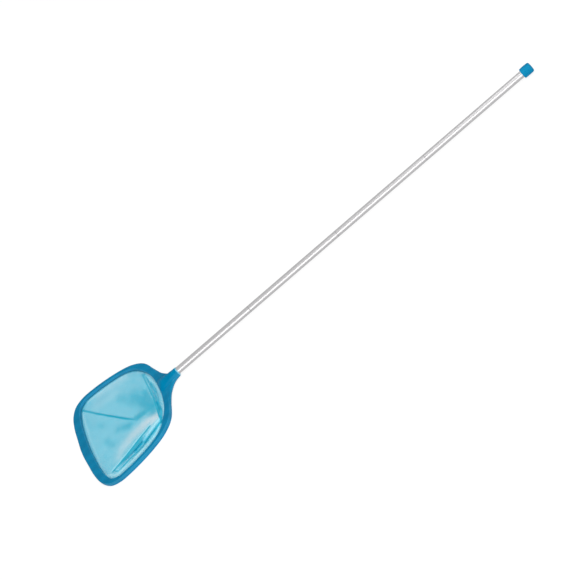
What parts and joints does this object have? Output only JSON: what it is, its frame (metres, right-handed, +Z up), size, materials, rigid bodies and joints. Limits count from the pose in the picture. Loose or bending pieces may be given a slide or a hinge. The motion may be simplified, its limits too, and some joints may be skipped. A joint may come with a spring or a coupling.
{
  "type": "leaf skimmer net",
  "caption": "Shield-shaped plastic rim clamping a slack leaf net, on a push-fit aluminium pole with a plastic end cap.",
  "frame": {"origin": "on the ground below the middle of the skimmer's length, as it lies on its back with the opening up", "axes": "+Y along the pole from the net to the cap, +Z up out of the net's opening, +X to the right"},
  "size_m": [0.3776, 1.56, 0.029],
  "materials": {
    "rim_plastic": "injection-moulded blue plastic, satin gloss",
    "ring_plastic": "lighter blue moulded plastic, satin",
    "net_fabric": "fine woven light blue mesh, translucent",
    "hem_tape": "woven binding tape",
    "pole_metal": "bright drawn aluminium tube",
    "cap_plastic": "soft blue moulded plastic"
  },
  "bodies": {
    "head": {"head_frame": "rim_plastic", "clamp_ring": "ring_plastic", "net": "net_fabric", "net_hem": "hem_tape"},
    "section_1": {"pole_section_1": "pole_metal"},
    "section_2": {"pole_section_2": "pole_metal"},
    "section_3": {"pole_section_3": "pole_metal"},
    "section_4": {"pole_section_4": "pole_metal"},
    "cap": {"end_cap": "cap_plastic"}
  },
  "joints": [
    {"name": "socket_pull", "type": "slide", "parent": "head", "child": "section_1", "axis": [0, 1, 0], "range_m": [0, 0.054]},
    {"name": "joint_1_pull", "type": "slide", "parent": "section_1", "child": "section_2", "axis": [0, 1, 0], "range_m": [0, 0.052]},
    {"name": "joint_2_pull", "type": "slide", "parent": "section_2", "child": "section_3", "axis": [0, 1, 0], "range_m": [0, 0.052]},
    {"name": "joint_3_pull", "type": "slide", "parent": "section_3", "child": "section_4", "axis": [0, 1, 0], "range_m": [0, 0.052]},
    {"name": "cap_pull", "type": "slide", "parent": "section_4", "child": "cap", "axis": [0, 1, 0], "range_m": [0, 0.026]}
  ]
}
